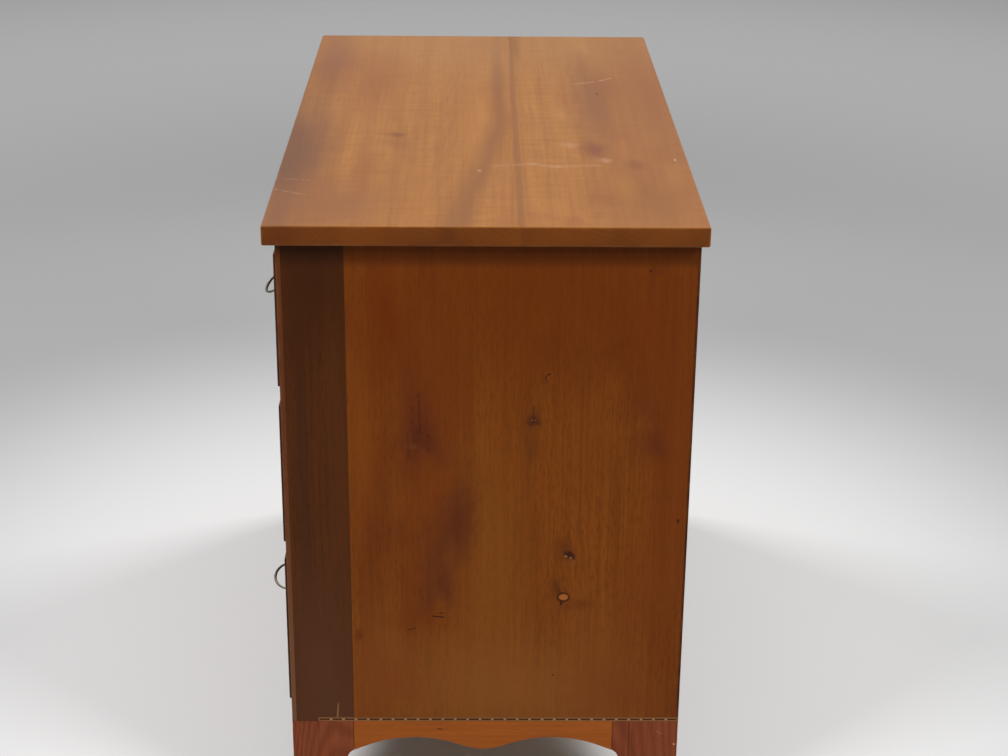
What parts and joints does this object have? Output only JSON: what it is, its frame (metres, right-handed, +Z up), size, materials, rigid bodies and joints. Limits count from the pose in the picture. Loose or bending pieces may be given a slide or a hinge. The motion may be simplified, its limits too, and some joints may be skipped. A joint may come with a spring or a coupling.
{
  "type": "chest of drawers",
  "caption": "Wooden chest with full-width dovetailed drawers that slide out, swinging bail pulls on oval plates, an inlaid line, a scalloped skirt and flared French feet.",
  "frame": {"origin": "on the floor, under the middle of the chest's box", "axes": "+X along the width to the chest's right end as one faces away from its front, -Y out of the front, +Z up"},
  "size_m": [0.967, 0.527, 0.8132],
  "materials": {
    "top_wood": "worn satin, old cherry",
    "end_wood": "satin, old cherry",
    "dark_wood": "satin, dark cherry",
    "facing_wood": "satin, reddish cherry",
    "skirt_wood": "satin, orange cherry",
    "foot_wood": "satin, reddish cherry",
    "drawer_wood": "satin, old cherry",
    "bead_wood": "satin, dark",
    "inlay_wood": "satin, light and dark banding",
    "inside_wood": "raw pine, aged",
    "brass": "dark aged brass"
  },
  "bodies": {
    "case": {"top_front_board": "top_wood", "top_rear_board": "top_wood", "left_end_panel": "end_wood", "right_end_panel": "end_wood", "left_end_front_board": "dark_wood", "right_end_front_board": "dark_wood", "left_front_facing": "facing_wood", "right_front_facing": "facing_wood", "top_front_rail": "drawer_wood", "upper_blade": "drawer_wood", "lower_blade": "drawer_wood", "bottom_rail": "drawer_wood", "case_bottom": "inside_wood", "upper_runner_left": "inside_wood", "upper_runner_right": "inside_wood", "lower_runner_left": "inside_wood", "lower_runner_right": "inside_wood", "kicker_left": "inside_wood", "kicker_right": "inside_wood", "back_board_upper": "inside_wood", "back_board_lower": "inside_wood", "right_inlay_band": "inlay_wood", "front_inlay_band": "inlay_wood", "front_skirt": "skirt_wood", "left_skirt": "skirt_wood", "right_skirt": "skirt_wood", "front_left_foot": "foot_wood", "front_right_foot": "foot_wood", "rear_left_foot": "foot_wood", "rear_right_foot": "foot_wood"},
    "upper_drawer": {"upper_drawer_front": "drawer_wood", "upper_drawer_left_side": "inside_wood", "upper_drawer_right_side": "inside_wood", "upper_drawer_back": "inside_wood", "upper_drawer_bottom": "inside_wood", "upper_drawer_cockbead": "bead_wood", "upper_left_pull_plate": "brass", "upper_right_pull_plate": "brass"},
    "middle_drawer": {"middle_drawer_front": "drawer_wood", "middle_drawer_left_side": "inside_wood", "middle_drawer_right_side": "inside_wood", "middle_drawer_back": "inside_wood", "middle_drawer_bottom": "inside_wood", "middle_drawer_cockbead": "bead_wood", "middle_left_pull_plate": "brass", "middle_right_pull_plate": "brass"},
    "lower_drawer": {"lower_drawer_front": "drawer_wood", "lower_drawer_left_side": "inside_wood", "lower_drawer_right_side": "inside_wood", "lower_drawer_back": "inside_wood", "lower_drawer_bottom": "inside_wood", "lower_drawer_cockbead": "bead_wood", "lower_left_pull_plate": "brass", "lower_right_pull_plate": "brass"},
    "upper_left_bail": {"upper_left_bail": "brass"},
    "upper_right_bail": {"upper_right_bail": "brass"},
    "middle_left_bail": {"middle_left_bail": "brass"},
    "middle_right_bail": {"middle_right_bail": "brass"},
    "lower_left_bail": {"lower_left_bail": "brass"},
    "lower_right_bail": {"lower_right_bail": "brass"}
  },
  "joints": [
    {"name": "upper_drawer_slide", "type": "slide", "parent": "case", "child": "upper_drawer", "axis": [0, -1, 0], "range_m": [0, 0.36]},
    {"name": "middle_drawer_slide", "type": "slide", "parent": "case", "child": "middle_drawer", "axis": [0, -1, 0], "range_m": [0, 0.36]},
    {"name": "lower_drawer_slide", "type": "slide", "parent": "case", "child": "lower_drawer", "axis": [0, -1, 0], "range_m": [0, 0.36]},
    {"name": "upper_left_bail_swing", "type": "hinge", "parent": "upper_drawer", "child": "upper_left_bail", "pos_m": [-0.3175, -0.24146, 0.6912], "axis": [-1, 0, 0], "range_deg": [-18, 198]},
    {"name": "upper_right_bail_swing", "type": "hinge", "parent": "upper_drawer", "child": "upper_right_bail", "pos_m": [0.3175, -0.24146, 0.6912], "axis": [-1, 0, 0], "range_deg": [-74, 142]},
    {"name": "middle_left_bail_swing", "type": "hinge", "parent": "middle_drawer", "child": "middle_left_bail", "pos_m": [-0.3175, -0.24146, 0.4934], "axis": [-1, 0, 0], "range_deg": [-18, 198]},
    {"name": "middle_right_bail_swing", "type": "hinge", "parent": "middle_drawer", "child": "middle_right_bail", "pos_m": [0.3175, -0.24146, 0.4934], "axis": [-1, 0, 0], "range_deg": [-18, 198]},
    {"name": "lower_left_bail_swing", "type": "hinge", "parent": "lower_drawer", "child": "lower_left_bail", "pos_m": [-0.3175, -0.24146, 0.28], "axis": [-1, 0, 0], "range_deg": [-18, 198]},
    {"name": "lower_right_bail_swing", "type": "hinge", "parent": "lower_drawer", "child": "lower_right_bail", "pos_m": [0.3175, -0.24146, 0.28], "axis": [-1, 0, 0], "range_deg": [-111, 105]}
  ]
}
